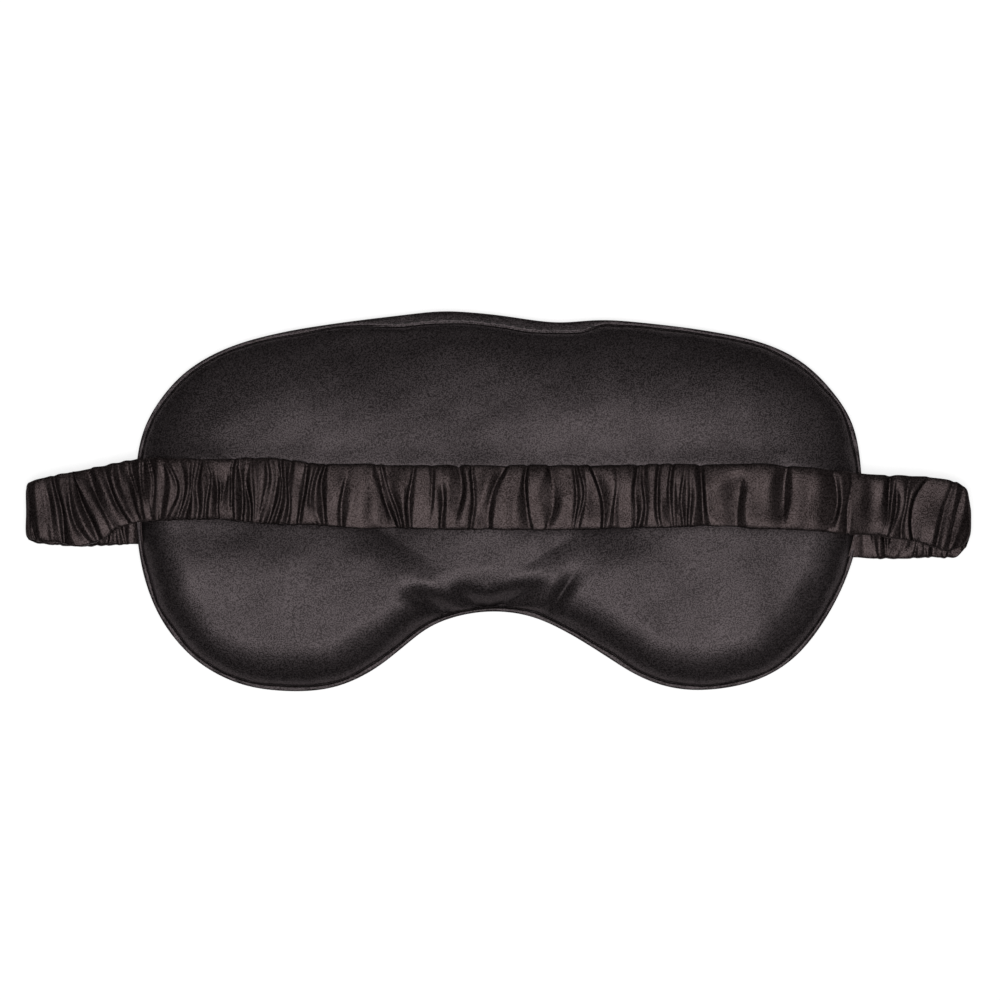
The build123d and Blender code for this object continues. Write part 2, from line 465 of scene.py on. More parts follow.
def panel_faces(ring_count):
    """Quads between the rings, and the last ring's quads and triangles to the spine."""
    columns = len(COLUMN)
    faces = []
    for r in range(ring_count - 1):
        for j in range(columns):
            k = (j + 1) % columns
            faces.append((r * columns + j, r * columns + k, (r + 1) * columns + k,
                          (r + 1) * columns + j))
    spine, r = ring_count * columns, (ring_count - 1) * columns
    for j in range(columns):
        k = (j + 1) % columns
        a, b = spine + COLUMN_SPINE[j], spine + COLUMN_SPINE[k]
        faces.append((r + j, r + k, b) if a == b else (r + j, r + k, b, a))
    return faces


def section(ring, puff, reach):
    """Height above the seam across a panel: turned rim, ditch, then the padded rise."""
    edge = np.sqrt(np.clip(1 - (1 - np.clip(ring / EDGE_ROUND, 0, 1)) ** 2, 0, 1))
    lip = BEAD * edge - DITCH * np.exp(-((ring - LIP) / DITCH_HALF) ** 2)
    rise = np.clip((ring - LIP) / reach, 0, 1)
    return lip + puff * (1 - (1 - rise) ** BULGE) ** (1 / BULGE)


CREASE_IN, CREASE_OUT = (-0.45, 0.2), (0.4, 1.15)    # fades in and out, in its lengths
CREASE_SWELL, SWELL_AT = 0.12, 2.0     # the swell beside it, per its depth and half width
CREASE_REACH = 4                       # it ends this many half widths aside


def creases(x, y, rows):
    """Depth of creases: each row is its start, its end, its half width and its depth.

    A crease runs a little past both ends as it dies out, and the cloth swells beside it.
    """
    total = np.zeros(len(x))
    for x0, y0, x1, y1, width, depth in rows:
        length = math.hypot(x1 - x0, y1 - y0)
        ux, uy = (x1 - x0) / length, (y1 - y0) / length
        along = ((x - x0) * ux + (y - y0) * uy) / length
        aside = np.abs(-(x - x0) * uy + (y - y0) * ux) / width
        fade = ramp(*CREASE_IN, along) * (1 - ramp(*CREASE_OUT, along))
        swell = CREASE_SWELL * np.exp(-(aside - SWELL_AT) ** 2 / 0.8)
        shape = np.exp(-aside ** 1.4) - swell
        total += np.where(aside < CREASE_REACH, depth * fade * shape, 0)
    return total


def rim_creases(seed, spacing, length, width, depth, keep=None):
    """Rows of small creases that start at the rim, where keep says so, and run inwards."""
    draw = np.random.default_rng(seed)
    rows, at = [], 0.0
    total = RIM_STEP * RIM_SAMPLES
    while at < total:
        at += spacing * draw.uniform(0.5, 1.6)
        k = int(at / RIM_STEP) % RIM_SAMPLES
        start = RIM[k] + RIM_IN[k] * LIP_AT[k] * 0.9
        turn = draw.normal(0, 0.35)
        size = [draw.uniform(0.6, 1.5) for _ in range(3)]
        if keep is not None and not keep(*start):
            continue
        heading = math.atan2(RIM_IN[k, 1], RIM_IN[k, 0]) + turn
        reach = length * size[0]
        end = start + reach * np.array([math.cos(heading), math.sin(heading)])
        rows.append((*start, *end, width * size[1], depth * size[2]))
    return rows


# Where the sewn rim pulls the face panel into folds: start, end, half width and depth.
PULLED_CREASES = [
    (-14.5, -32.6, -28.5, -25.0, 2.4, 2.30), (-4.6, -30.8, -12.8, -26.0, 2.2, 2.00),
    (-1.5, -30.8, 13.6, -24.4, 2.4, 2.30), (15.0, -31.6, 22.8, -19.5, 1.9, 1.50),
    (17.5, -34.0, 33.0, -41.5, 2.4, 0.70), (-20.0, -36.5, -35.0, -43.5, 2.2, 0.60),
    (7.5, -18.5, 22.5, -9.5, 2.8, 0.45), (-33.0, -9.0, -15.0, -20.5, 4.5, 0.75),
    (-103.0, -17.0, -97.5, -14.0, 1.6, 0.55), (-100.5, -27.0, -96.0, -24.0, 1.4, 0.35),
    (100.5, -26.0, 93.0, -27.5, 1.6, 0.60), (103.6, -2.0, 99.0, 4.0, 1.5, 0.50),
    (104.0, 12.0, 99.5, 16.5, 1.4, 0.45), (39.3, 34.5, 39.9, 23.5, 0.7, 0.10),
]
# Where the padding gives under the strap: middle, half size each way, and depth.
DENTS = [(-32, -6.0, 15, 7.0, 1.6), (32, -6.0, 17, 9.0, 2.1), (-74, -6.0, 23, 9.5, 1.7)]


def dents(x, y):
    """Depth of the hollows in the padding."""
    return sum(deep * np.exp(-((x - mx) / sx) ** 2 - ((y - my) / sy) ** 2)
               for mx, my, sx, sy, deep in DENTS)


def near_notch(x, y):
    return y < 0 and abs(x) < 40


def away_from_notch(x, y):
    return not near_notch(x, y)


SHOULDER = (92, 104)     # where the strap leaves the padding, in x


def band_press(x, y):
    """How far the strap presses the face panel down.

    The cloth slopes to it on its cheek side, and swells beside it on the other.
    """
    over = np.interp(x, BAND_LINE_X, BAND_LINE_Y)
    hold = 1 - ramp(*SHOULDER, np.abs(x))
    off = y - over
    sink = np.where(off < 0, 0.5 * np.exp(-(off / 16) ** 2) + 0.8 * np.exp(-(off / 7.8) ** 4),
                    1.3 * np.exp(-(off / 7.2) ** 6))
    swell = np.where(off > 0, 0.35 * np.exp(-((off - 8.0) / 4.2) ** 2), 0)
    return hold * (sink - swell)


def lip_wave(ring, near):
    """Unevenness of the turned rim."""
    wave = 0.10 * ripple(near * RIM_STEP, 0 * ring, 9, 21) * (1 - ramp(1.0, 3.0, ring))
    return wave * ramp(0.0, EDGE_ROUND, ring)


def face_heights(x, y, ring, near):
    """Height of the face panel."""
    z = SEAM_Z + section(ring, FACE_PUFF, FACE_REACH_AT[near]) + lip_wave(ring, near)
    z += LIP_RISE[near] * np.clip(ring / LIP, 0, 1) * (1 - ramp(LIP, 6.0, ring))
    inside = ramp(1.2, 9, ring)
    z += inside * (0.22 * ripple(x, y, 46, 31) + 0.035 * ripple(x, y, 13, 32))
    z -= (band_press(x, y) + dents(x, y)) * ramp(1.5, 9, ring)
    rows = PULLED_CREASES + rim_creases(41, 5.5, 4.0, 0.9, 0.10, keep=away_from_notch)
    z -= creases(x, y, rows) * ramp(0.9, 2.2, ring)
    return z


def front_heights(x, y, ring, near):
    """Height of the front panel, flat where it rests."""
    z = SEAM_Z - section(ring, FRONT_PUFF, CHEEK_REACH) + lip_wave(ring, near)
    rows = rim_creases(51, 4.5, 5.0, 0.9, 0.12)
    rows += rim_creases(53, 5.5, 8.0, 1.2, 0.4, keep=near_notch)
    z += creases(x, y, rows) * ramp(0.9, 2.2, ring)
    return np.maximum(z, 0.0)


GRID_XY, GRID_RING, GRID_NEAR, GRID_FACES = panel_grid()
FACE_Z = face_heights(GRID_XY[:, 0], GRID_XY[:, 1], GRID_RING, GRID_NEAR)
FRONT_Z = front_heights(GRID_XY[:, 0], GRID_XY[:, 1], GRID_RING, GRID_NEAR)


def flipped(faces):
    return [tuple(reversed(f)) for f in faces]


def make_panels():
    face = mesh_object("face_panel_satin", np.column_stack([GRID_XY, FACE_Z]), GRID_FACES,
                       PANEL_SATIN)
    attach(face, "mask")
    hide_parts("face_panel")
    front = mesh_object("front_panel_satin", np.column_stack([GRID_XY, FRONT_Z]),
                        flipped(GRID_FACES), PANEL_SATIN)
    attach(front, "mask")
    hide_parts("front_panel")


# The lining as cut: the mask's outline, drawn in to the rim seam, in metres.
LINING_HALF = 0.18       # half its thickness
FILLING_INSET = 2.4      # the filling starts this far inside the rim
PANEL_CLOTH = 0.45       # from a panel's outer side to its wadding
THIN = 0.05              # a wadding's least thickness plus its gap, at the edges
LOOSE = 0.02             # gap between a wadding and the lining


def pad_between(name, low, high, material, node):
    """A closed pad inside the rim, between two heights of the grid."""
    inside = GRID_RING > FILLING_INSET
    keep = np.where(inside)[0]
    renumber = -np.ones(len(GRID_XY), int)
    renumber[keep] = np.arange(len(keep))
    faces = [f for f in GRID_FACES if all(inside[i] for i in f)]
    top = [tuple(renumber[i] for i in f) for f in faces]
    bottom = [tuple(renumber[i] + len(keep) for i in reversed(f)) for f in faces]
    first = len(COLUMN) * int(np.searchsorted(RIM_RINGS, FILLING_INSET, side="right"))
    ring = [renumber[first + j] for j in range(len(COLUMN))]
    wall = [(ring[j], ring[j] + len(keep), ring[(j + 1) % len(ring)] + len(keep),
             ring[(j + 1) % len(ring)]) for j in range(len(ring))]
    points = np.vstack([np.column_stack([GRID_XY[keep], height[keep]])
                        for height in (high, low)])
    pad = mesh_object(name, points, top + bottom + wall, material)
    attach(pad, "mask")
    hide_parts(node)
    return pad


def make_filling():
    """Wadding and lining, sealed between the panels."""
    lining_low = np.full(len(FACE_Z), SEAM_Z - LINING_HALF)
    lining_high = np.full(len(FACE_Z), SEAM_Z + LINING_HALF)
    face_pad = pad_between("face_wadding_pad", lining_high + LOOSE,
                           np.maximum(FACE_Z - PANEL_CLOTH, lining_high + THIN),
                           WADDING, "face_wadding")
    front_pad = pad_between("front_wadding_pad",
                            np.minimum(FRONT_Z + PANEL_CLOTH, lining_low - THIN),
                            lining_low - LOOSE, WADDING, "front_wadding")
    lining = pad_between("light_block_lining", lining_low, lining_high, LINING,
                         "light_block_liner")


# ---------------------------------------------------------------- thread

def capsule_rows(centres, directions, ups, length, radius):
    """Points and faces of many small round-ended stitches."""
    sides, rings = 8, 7
    points, faces = [], []
    angle = np.linspace(0, TAU, sides, endpoint=False)
    share = np.linspace(-1, 1, rings)
    swell = np.sqrt(np.clip(1 - np.abs(share) ** 3.0, 0.04, 1))
    for c, d, up in zip(centres, directions, ups):
        side = unit(np.cross(d, up))
        lift = unit(np.cross(side, d))
        base = len(points)
        for s, w in zip(share, swell):
            mid = c + d * s * length / 2
            for a in angle:
                points.append(mid + radius * w * (side * math.cos(a) + lift * math.sin(a)))
        for r in range(rings - 1):
            for k in range(sides):
                m = (k + 1) % sides
                faces.append((base + r * sides + k, base + r * sides + m,
                              base + (r + 1) * sides + m, base + (r + 1) * sides + k))
        faces.append(tuple(base + k for k in reversed(range(sides))))
        faces.append(tuple(base + (rings - 1) * sides + k for k in range(sides)))
    return np.array(points), faces


def stitches(name, places, length, radius, node):
    """One piece of many stitches, each at its middle, with its direction and its up."""
    centres, directions, ups = (np.array(v, float) for v in zip(*places))
    points, faces = capsule_rows(centres, directions, ups, length, radius)
    obj = mesh_object(name, points, faces, THREAD)
    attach(obj, "mask")
    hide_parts(node)


def rim_place(k, inset, height):
    """A point inset from a rim sample, the way along the rim there, and up."""
    spot = RIM[k] + RIM_IN[k] * inset
    return (*spot, height), (*RIM_ALONG[k], 0), (0, 0, 1)


def make_rim_seam():
    """The hidden lockstitch that joins the panels inside the turned rim."""
    pitch, across_lip = 2.6, 0.72
    count = int(RIM_STEP * RIM_SAMPLES / pitch)
    ks = [int(i * RIM_SAMPLES / count) for i in range(count)]
    places = [rim_place(k, LIP_AT[k] * across_lip, SEAM_Z) for k in ks]
    stitches("rim_seam_thread", places, length=2.3, radius=0.17, node="perimeter_seam")


def make_closing_stitches():
    """The edge stitches across the closed turning gap at the forehead, from low to high x."""
    pitch, across_lip, sunk, low, high = 2.9, 0.70, 0.02, -30.0, 27.0
    start, stop = rim_index(high, True), rim_index(low, True)
    if stop < start:
        stop += RIM_SAMPLES
    count = int((stop - start) * RIM_STEP / pitch)
    places = []
    for i in range(count + 1):
        k = int(start + i * (stop - start) / count) % RIM_SAMPLES
        height = SEAM_Z + BEAD - sunk + LIP_RISE[k] * across_lip
        places.append(rim_place(k, LIP_AT[k] * across_lip, height))
    stitches("closing_stitch_thread", places, length=2.2, radius=0.2, node="closing_stitches")


# ---------------------------------------------------------------- strap

CASING_HALF = 8.95       # half the casing's width, without its gathers
CASING_DEPTH = 0.8       # half its thickness, without its gathers
ELASTIC_HALF = 7.2       # half the elastic's width
ELASTIC_DEPTH = 0.22     # half its thickness
ELASTIC_INSIDE = 1.3     # least distance of its edge from the casing's
# Creases and crests across the strap's upper layer, from left to right: x at its forehead edge,
# x at its cheek edge, and how far it stands out, from 0 in a crease to over 1 on a crest. The
# dense gathers come between the rows on each side of their mark.
FOLD_LINES = [
    (-135.0, -135.0, 0.1), (-134.0, -133.7, 0.7), (-131.3, -130.4, 0.9), (-130.3, -129.2, 0.2),
    (-128.6, -126.4, 0.9), (-127.6, -125.0, 0.0), (-126.6, -122.6, 1.2), (-125.2, -120.6, 0.1),
    (-123.6, -119.6, 1.1), (-120.4, -118.9, -0.2), (-118.9, -118.0, 1.35), (-117.0, -115.4, 0.9),
    (-115.4, -114.4, -0.1), (-113.8, -111.4, 1.2), (-111.8, -109.2, 0.1), (-110.2, -108.0, 1.2),
    (-108.4, -106.6, 0.0),
    "gathers",
    (-72.4, -71.4, 0.0), (-71.5, -70.5, 1.1), (-70.9, -69.9, 0.2), (-67.4, -69.2, 0.8),
    (-66.8, -68.6, 0.2), (-65.8, -67.1, 1.0), (-64.4, -65.4, 0.2), (-63.6, -64.2, 1.0),
    (-63.0, -63.3, 0.1), (-62.1, -61.4, 1.15), (-60.8, -60.2, 0.1), (-59.2, -59.5, 1.0),
    (-56.4, -57.6, 1.05), (-55.8, -57.0, 0.1), (-54.2, -56.0, 1.0), (-53.3, -52.9, 0.3),
    (-51.9, -51.7, 1.0), (-50.7, -50.0, 0.0), (-49.6, -49.0, 1.0), (-44.9, -46.2, 1.1),
    (-43.6, -45.4, 0.1), (-37.4, -44.6, 0.95), (-36.4, -38.0, 1.0), (-35.9, -31.6, 0.6),
    (-35.3, -29.8, 0.0), (-34.2, -28.4, 1.2), (-33.3, -27.7, 0.05), (-26.7, -27.1, 0.95),
    (-25.4, -26.4, 1.05), (-24.8, -25.8, 0.2), (-23.5, -24.8, 1.0), (-19.7, -20.9, 0.9),
    (-19.1, -20.3, 0.2), (-17.9, -19.3, 1.1), (-16.3, -17.4, 1.0), (-15.7, -16.5, 0.1),
    (-14.4, -15.0, 1.1), (-10.6, -12.5, 0.0), (-9.2, -10.6, 1.1), (-8.1, -8.3, 0.9),
    (-7.5, -7.6, 0.2), (-6.7, -6.7, 1.1), (-3.1, -5.2, 1.15), (1.6, -3.7, 0.05),
    (2.6, -2.1, 1.0), (7.0, 3.2, 1.05), (7.9, 9.0, 0.05), (8.5, 9.8, 1.15),
    (13.3, 12.6, 1.1), (15.2, 14.5, 0.0), (18.9, 16.7, 0.9), (21.5, 21.3, 1.0),
    (22.3, 22.1, 0.2), (23.2, 22.7, 1.15), (24.0, 23.4, 0.3), (25.3, 24.3, 1.1),
    (26.5, 29.9, 1.1), (27.1, 30.6, 0.1), (33.4, 31.5, 1.0), (34.1, 33.1, 0.2),
    (35.6, 34.6, 1.1), (39.0, 37.8, 1.0), (40.0, 39.1, 0.1), (41.2, 40.6, 1.0),
    (42.2, 41.6, 0.2), (43.4, 42.8, 1.1), (45.4, 45.1, 0.95), (46.2, 46.0, 0.1),
    (47.0, 46.9, 1.0), (49.0, 48.8, 1.0), (49.7, 49.6, 0.1), (50.9, 50.5, 1.0),
    (51.8, 51.4, 0.3), (52.7, 52.0, 1.0), (53.5, 52.8, 0.1), (54.5, 53.9, 1.1),
    (55.5, 54.7, 0.2), (56.7, 56.0, 1.2), (58.2, 59.2, -0.2), (59.2, 60.9, 0.9),
    (64.2, 61.9, 1.0), (70.8, 68.6, -0.1), (74.9, 70.9, 1.05), (78.7, 73.2, 1.1),
    (82.6, 82.2, 0.0), (84.4, 83.5, 1.0), (91.6, 86.8, 1.1), (96.3, 96.9, -0.1),
    (98.0, 98.3, 1.0), (99.7, 100.0, 0.95), (100.5, 100.7, 0.4), (101.4, 101.3, 1.1),
    (111.4, 103.0, 1.15), (112.6, 112.0, -0.1), (113.5, 112.9, 1.3), (114.2, 113.6, 0.2),
    (115.2, 114.6, 1.3), (117.0, 116.3, 1.1), (118.0, 117.0, 0.3), (119.7, 118.2, 1.3),
    (120.8, 118.8, 1.45), (121.5, 119.6, -0.1), (123.9, 123.0, 0.8), (127.6, 127.0, 0.8),
    (128.9, 128.5, 0.1), (130.4, 130.0, 1.0), (131.3, 131.1, 0.9), (132.1, 131.9, 0.2),
    (133.6, 133.3, 0.8), (135.0, 135.0, 0.3),
]
FOLD_HEIGHT = 0.95       # how far a crest stands out, in mm
GATHERED = (-105.6, -72.8)     # where the gathers are too dense to follow one by one
GATHER_SPACING = 2.0
LEFT_SPACING, RIGHT_SPACING = 1.9, 2.5     # of the creases of the lower layers
LOWER_SPAN = (107.0, 134.0)    # where those creases run, in x
DENSE = 1.3              # creases closer than this sway more
CREST = 0.45             # a row that stands out more than this is a crest


def strap_at(x, layer):
    """Length along the strap where its upper or lower layer has this x."""
    upper = STRAP_MIDDLE[:, 2] > FOLD_Z
    use = upper if layer == "upper" else ~upper
    if layer == "lower":
        use = use & (STRAP_MIDDLE[:, 0] * x > 0)
    return float(STRAP_AT[np.argmin(np.where(use, np.abs(STRAP_MIDDLE[:, 0] - x), FAR))])


def drawn_folds(draw, low, high, spacing):
    """Creases and crests at random: place at each edge, and height."""
    at, rows = low, []
    while at < high:
        crest = at + spacing * draw.uniform(0.35, 0.75)
        skew = draw.normal(0, 0.75, 2)
        rows.append((at + skew[0], at - skew[0], draw.uniform(-0.05, 0.35)))
        rows.append((crest + skew[1], crest - skew[1], draw.uniform(0.8, 1.3)))
        at += spacing * draw.uniform(0.7, 1.5)
    return rows


def fold_lines():
    """All the creases and crests in order along the strap, by their length along it.

    The random generator comes with them, for the draws that follow.
    """
    draw = np.random.default_rng(23)
    upper = STRAP_MIDDLE[:, 2] > FOLD_Z
    upper_at = STRAP_AT[upper][np.argsort(STRAP_MIDDLE[upper, 0])]

    def along(x):
        return float(np.interp(x, BAND_LINE_X, upper_at))

    near, far = LOWER_SPAN
    rows = drawn_folds(draw, strap_at(-near, "lower"), strap_at(-far, "lower"), LEFT_SPACING)
    for line in FOLD_LINES:
        if line == "gathers":
            rows += drawn_folds(draw, along(GATHERED[0]), along(GATHERED[1]), GATHER_SPACING)
        else:
            rows.append((along(line[0]), along(line[1]), line[2]))
    rows += drawn_folds(draw, strap_at(far, "lower"), strap_at(near, "lower"), RIGHT_SPACING)
    return np.array(rows), draw


def gathers(across):
    """How far the casing stands out at each step along the strap, at shares of its width."""
    rows, draw = fold_lines()
    top, low, height = rows.T
    count, middle = len(rows), (top + low) / 2
    # Each line bends, sways and swells across the strap in a way of its own.
    dense = (np.gradient(middle) < DENSE) * 1.0
    bend = 0.55 * ripple(middle, 0 * middle, 11, 91) + draw.normal(0, 0.3, count)
    sway, phase = draw.uniform(0.05, 0.35, count) * (1 + dense), draw.uniform(0, TAU, count)
    crest = height > CREST
    height = height * np.where(crest, draw.uniform(0.7, 1.2, count), 1)
    swell = draw.uniform(0.05, 0.4, count) * crest
    # A crease may die out towards one of the edges.
    side, start = draw.choice([-1, 1], count), draw.uniform(-0.5, 1.1, count)
    shut = draw.uniform(0.3, 0.9, count) * ~crest
    reach = 3
    weight = np.exp(-0.5 * np.arange(-reach, reach + 1) ** 2)
    weight /= weight.sum()
    out = np.empty((len(STRAP_AT), len(across)))
    for j, v in enumerate(across):
        place = middle + (top - low) / 2 * v + bend * (1 - 2 * v * v)
        place = place + sway * np.sin(3.6 * v + phase)
        level = height * (1 + swell * np.sin(2.4 * v + phase))
        level = level + (0.8 - level) * shut * ramp(0, 0.8, side * v - start)
        tall = np.interp(STRAP_AT, np.maximum.accumulate(place), level)
        tall = np.sin(np.clip(tall / 1.4, -0.2, 1) * math.pi / 2)
        out[:, j] = np.convolve(np.pad(tall, reach, mode="edge"), weight, mode="valid")
    return out * FOLD_HEIGHT


def strap_frames():
    """Directions across and out of the strap at each step of its line."""
    along = unit(np.gradient(STRAP_MIDDLE, axis=0))
    across = np.tile([0.0, 1.0, 0.0], (len(along), 1))
    across = unit(across - along * (across * along).sum(1, keepdims=True))
    return across, unit(np.cross(along, across))


# Extra half width where the strap lies slack: how much, and where in x. On the left it is a
# bulge of the upper layer, with its middle and its half length.
LEFT_SLACK, LEFT_SLACK_X, LEFT_SLACK_HALF = 1.5, -120.5, 6.5
RIGHT_SLACK, RIGHT_SLACK_SPAN = 0.9, (120, 133)
TIP_REACH = {"left": 2.4, "right": 5.2}    # how far from its tip a folded end narrows
TIP_WIDTH = {"left": 0.82, "right": 0.56}  # and the share of its width left at the tip
TIP_PAST_FOLD = 0.15     # the tip, past the fold's pivot
LEFT_CORNERS, RIGHT_CORNERS = (0.7, 9), (1.3, 3)   # how deep they are cut, and how square
CORNER_SPAN = (128, 136)       # where they are cut, in x
LAYER_GAP = 0.45         # least height of each folded layer above or below the fold's pivot
LAYERS_MEET = (FOLD_X - 1.6, FOLD_X - 0.2)     # where that gap closes, in x
SEWN_SPAN = (103.5, 110.0)     # where the strap comes out of its seam, in x
FOLD_SPAN = (FOLD_X - 3.0, FOLD_X - 0.5)       # and where it goes into its fold
SEWN_CALM, FOLD_CALM = 0.85, 0.7       # share of its gathers that it loses there
SEWN_THIN, FOLD_THIN = 0.45, 0.35      # and of its thickness
INNER_LOWER, INNER_UPPER = 0.9, 0.5    # gathers of a layer's inner side, per the outer's
EDGE_SWAY = 0.6          # how far they push its edges aside, per their height
FACET = 0.14             # how uneven the cloth is between them


def strap_half_width():
    """Half the casing's width at each step of its line: wider where it lies slack."""
    x, upper = STRAP_MIDDLE[:, 0], STRAP_MIDDLE[:, 2] > FOLD_Z
    left = LEFT_SLACK * np.exp(-((x - LEFT_SLACK_X) / LEFT_SLACK_HALF) ** 2) * upper
    right = RIGHT_SLACK * ramp(*RIGHT_SLACK_SPAN, x)
    half = CASING_HALF + left + right + 0.2 * ripple(STRAP_AT, 0 * x, 19, 73)
    reach = np.where(x < 0, TIP_REACH["left"], TIP_REACH["right"])
    keep = np.where(x < 0, TIP_WIDTH["left"], TIP_WIDTH["right"])
    into = np.clip((np.abs(x) - FOLD_X - TIP_PAST_FOLD + reach) / reach, 0, 1)
    return half * (keep + (1 - keep) * np.sqrt(1 - into ** 2))


def rounded_ends(points, half):
    """Draws the corners of the folded ends in towards the mask."""
    x = points[..., 0]
    off = np.minimum(np.abs(points[..., 1] - STRAP_MIDDLE[:, None, 1]) / half[:, None], 1.1)
    left, right = (deep * off ** square for deep, square in (LEFT_CORNERS, RIGHT_CORNERS))
    draw_in = np.where(x < 0, -left, right)
    points[..., 0] = x - draw_in * ramp(*CORNER_SPAN, np.abs(x))
    return points


def layers_apart(points):
    """Keeps the two folded layers on their own sides of the fold."""
    x, lower = np.abs(STRAP_MIDDLE[:, 0]), STRAP_MIDDLE[:, 2] < FOLD_Z
    gap = (LAYER_GAP * (1 - ramp(*LAYERS_MEET, x)))[:, None]
    z = points[..., 2]
    points[..., 2] = np.where(lower[:, None], np.minimum(z, FOLD_Z - gap),
                              np.maximum(z, FOLD_Z + gap))
    return points


def casing_section():
    """The casing's flat section, from its forehead edge round its outer side and back.

    It gives each point's share of the half width, and its share out of the strap's plane.
    """
    t = np.linspace(1, -1, AROUND // 2, endpoint=False)
    over = 0.6 * np.sin(t * math.pi / 2) + 0.4 * t
    across = np.concatenate([over, -over])
    side = np.repeat([1.0, -1.0], AROUND // 2)
    return across[None, :], (side * np.sqrt(np.clip(1 - across ** 4, 0, 1)))[None, :]


def on_strap(wide, high):
    """Points at the given widths across the strap and heights out of it."""
    across, out = strap_frames()
    return (STRAP_MIDDLE[:, None, :] + across[:, None, :] * wide[..., None]
            + out[:, None, :] * high[..., None])


def casing_surface():
    """Points of the whole casing: a row for each step along it, each a loop round it."""
    c, n = casing_section()
    x, z = np.abs(STRAP_MIDDLE[:, 0]), STRAP_MIDDLE[:, 2]
    sewn = np.where(z < FOLD_Z, 1 - ramp(*SEWN_SPAN, x), 0.0)
    at_fold = ramp(*FOLD_SPAN, x)
    slack = ((1 - SEWN_CALM * sewn) * (1 - FOLD_CALM * at_fold))[:, None]
    inner = np.where(z < FOLD_Z, INNER_LOWER, INNER_UPPER)[:, None]
    push = gathers(c[0]) * slack * np.where(n > 0, 1, inner)
    half = strap_half_width()
    depth = (CASING_DEPTH * (1 - FOLD_THIN * at_fold - SEWN_THIN * sewn))[:, None]
    wide = c * half[:, None] + np.sign(c) * c ** 6 * push * EDGE_SWAY
    facet = FACET * ripple(STRAP_AT[:, None], 3.0 * c, 7.5, 71) * np.abs(n) * slack
    high = np.sign(n) * (np.abs(n) ** 0.35 * depth + np.abs(n) ** 0.22 * push + facet)
    return layers_apart(rounded_ends(on_strap(wide, high), half))


def elastic_surface():
    """Points of the flat elastic inside the casing, in the same order."""
    turn = np.linspace(0, TAU, 24, endpoint=False)[None, :]
    c, n = np.cos(turn), np.sin(turn)
    half = strap_half_width()
    half_elastic = np.minimum(ELASTIC_HALF, half - ELASTIC_INSIDE)[:, None]
    wide = np.sign(c) * np.abs(c) ** 0.3 * half_elastic
    high = np.sign(n) * np.abs(n) ** 0.3 * ELASTIC_DEPTH
    return layers_apart(rounded_ends(on_strap(wide, high), half))


def surface_normals(points):
    """Normals of a tube given as loops."""
    d_along = np.gradient(points, axis=0)
    d_round = np.roll(points, -1, axis=1) - np.roll(points, 1, axis=1)
    return unit(np.cross(d_round, d_along))


def tube_faces(rows, around, caps):
    """Quads of a tube of loops, with a cap at its first and its last loop if caps says so."""
    faces = []
    for r in range(rows - 1):
        for k in range(around):
            m = (k + 1) % around
            faces.append((r * around + k, r * around + m, (r + 1) * around + m,
                          (r + 1) * around + k))
    if caps[0]:
        faces.append(tuple(reversed(range(around))))
    if caps[1]:
        faces.append(tuple((rows - 1) * around + k for k in range(around)))
    return faces


def strap_cuts():
    """Steps of the strap's line where its pieces meet: at mid end, mid run and the middle."""
    mid = (SEAM_X + FOLD_X) / 2 + 1.0
    cut = [0]
    for side in (-1, 1):
        lower = int(np.searchsorted(STRAP_AT, strap_at(side * mid, "lower")))
        upper = int(np.searchsorted(STRAP_AT, strap_at(side * mid, "upper")))
        cut += [lower, upper] if side < 0 else [upper, lower]
        if side < 0:
            cut.append(int(np.searchsorted(STRAP_AT, strap_at(0.0, "upper"))))
    return cut + [len(STRAP_AT) - 1]


def join_strap_piece(obj):
    """Bakes a length of strap's transform into its mesh."""
    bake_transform(obj)


STRAP_KINDS = [("end", "left"), ("fold", "left"), ("band", "left"),
               ("band", "right"), ("fold", "right"), ("end", "right")]
REPLACED = {"end": ["{}_end_{}", "{}_tab_{}"], "fold": ["{}_run_{}"], "band": ["{}_band_{}"]}


def make_strap_layer(prefix, surface, material, node_word, tab_word):
    """Cuts a tube along the whole strap into its lengths and hides the CAD nodes that each
    replaces.

    The two words start the names of the CAD nodes that it stands for.
    """
    normals = surface_normals(surface)
    cuts = strap_cuts()
    around, last = surface.shape[1], len(STRAP_KINDS) - 1
    for i, (kind, side) in enumerate(STRAP_KINDS):
        low, high = cuts[i], cuts[i + 1]
        points = surface[low:high + 1].reshape(-1, 3)
        faces = tube_faces(high - low + 1, around, caps=(i == 0, i == last))
        obj = mesh_object(f"{prefix}_{kind}_{side}_cloth", points, faces, material,
                          normals[low:high + 1].reshape(-1, 3))
        join_strap_piece(obj)
        nodes = [n.format(tab_word if "tab" in n else node_word, side) for n in REPLACED[kind]]
        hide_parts(*nodes)


def make_strap():
    make_strap_layer("casing", casing_surface(), STRAP_SATIN, "casing", "strap")
    make_strap_layer("elastic", elastic_surface(), ELASTIC, "elastic",
                     "elastic")


def make_tacks():
    """Short rows of stitches that hold the strap's ends in the side seams."""
    pitch, above_seam = 3.4, 0.42
    for side, strap_end in (("left", 0), ("right", -1)):
        low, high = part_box(f"strap_tack_{side}")
        x = (low[0] + high[0]) / 2 / MM
        y_mid = STRAP_MIDDLE[strap_end, 1]
        places = [((x, y_mid + k * pitch, SEAM_Z + above_seam), (0, 1, 0), (0, 0, 1))
                  for k in range(-2, 3)]
        stitches(f"strap_tack_thread_{side}", places, length=2.4, radius=0.16,
                 node=f"strap_tack_{side}")


# ---------------------------------------------------------------- room, light and camera

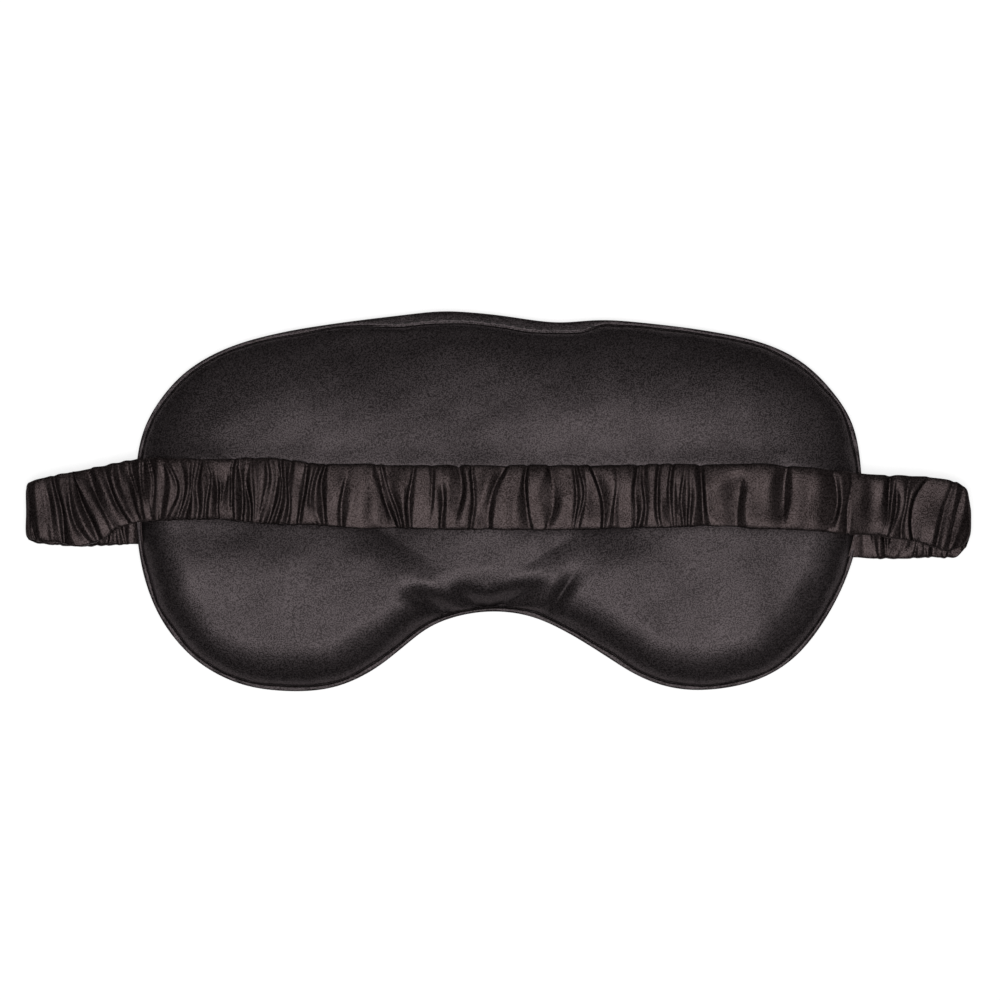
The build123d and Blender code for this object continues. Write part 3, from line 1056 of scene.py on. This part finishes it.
def pale_floor_material():
    """A pale matt floor with a glow of its own, so that it stays almost white."""
    material, _, shader = nodes_of("pale_floor")
    shader.inputs["Base Color"].default_value = (0.55, 0.55, 0.55, 1)
    shader.inputs["Roughness"].default_value = 0.9
    shader.inputs["Emission Color"].default_value = (1, 1, 1, 1)
    shader.inputs["Emission Strength"].default_value = 0.74
    return material


def make_floor():
    half, drop = 3.0, 0.0002     # half its side, and how far under the mask it lies
    mesh = bpy.data.meshes.new("floor")
    mesh.from_pydata([(-half, -half, 0), (half, -half, 0), (half, half, 0), (-half, half, 0)],
                     [], [(0, 1, 2, 3)])
    mesh.materials.append(pale_floor_material())
    floor = bpy.data.objects.new("floor", mesh)
    floor.location.z = -drop
    bpy.context.scene.collection.objects.link(floor)


def make_world():
    """White surroundings, brighter overhead than at the sides."""
    world = bpy.data.worlds.new("studio")
    world.use_nodes = True
    sky = world.node_tree
    coords, split = sky.nodes.new("ShaderNodeTexCoord"), sky.nodes.new("ShaderNodeSeparateXYZ")
    sky.links.new(coords.outputs["Generated"], split.inputs[0])
    low, overhead, dim, bright = 0.2, 0.95, 0.05, 0.30
    glow = spread(sky, split.outputs["Z"], dim, bright, low, overhead)
    sky.links.new(glow, sky.nodes["Background"].inputs["Strength"])
    sky.nodes["Background"].inputs["Color"].default_value = (1, 1, 1, 1)
    bpy.context.scene.world = world


def make_light():
    """One large soft light overhead, a little towards the cheek edge, aimed at the mask."""
    place = Vector((0.0, -0.25, 1.7))
    data = bpy.data.lights.new("key", "AREA")
    data.shape = "RECTANGLE"
    data.size, data.size_y = 1.0, 0.75
    data.energy = 12.5
    light = bpy.data.objects.new("key", data)
    light.location = place
    light.rotation_euler = (-place).to_track_quat("-Z", "Y").to_euler()
    bpy.context.scene.collection.objects.link(light)
    bpy.context.scene.view_settings.view_transform = "Standard"


def make_camera():
    """Straight above the mask. The view's width is measured at the height of its top."""
    height, top, view_width = 1.6, 0.009, 0.2885
    data = bpy.data.cameras.new("camera")
    data.sensor_width = 36.0
    data.lens = data.sensor_width * (height - top) / view_width
    data.clip_start = 0.01
    camera = bpy.data.objects.new("camera", data)
    camera.location = (0.0004, 0.0003, height)
    bpy.context.scene.collection.objects.link(camera)
    bpy.context.scene.camera = camera


make_panels()
make_filling()
make_rim_seam()
make_closing_stitches()
make_strap()
make_tacks()
make_floor()
make_world()
make_light()
make_camera()
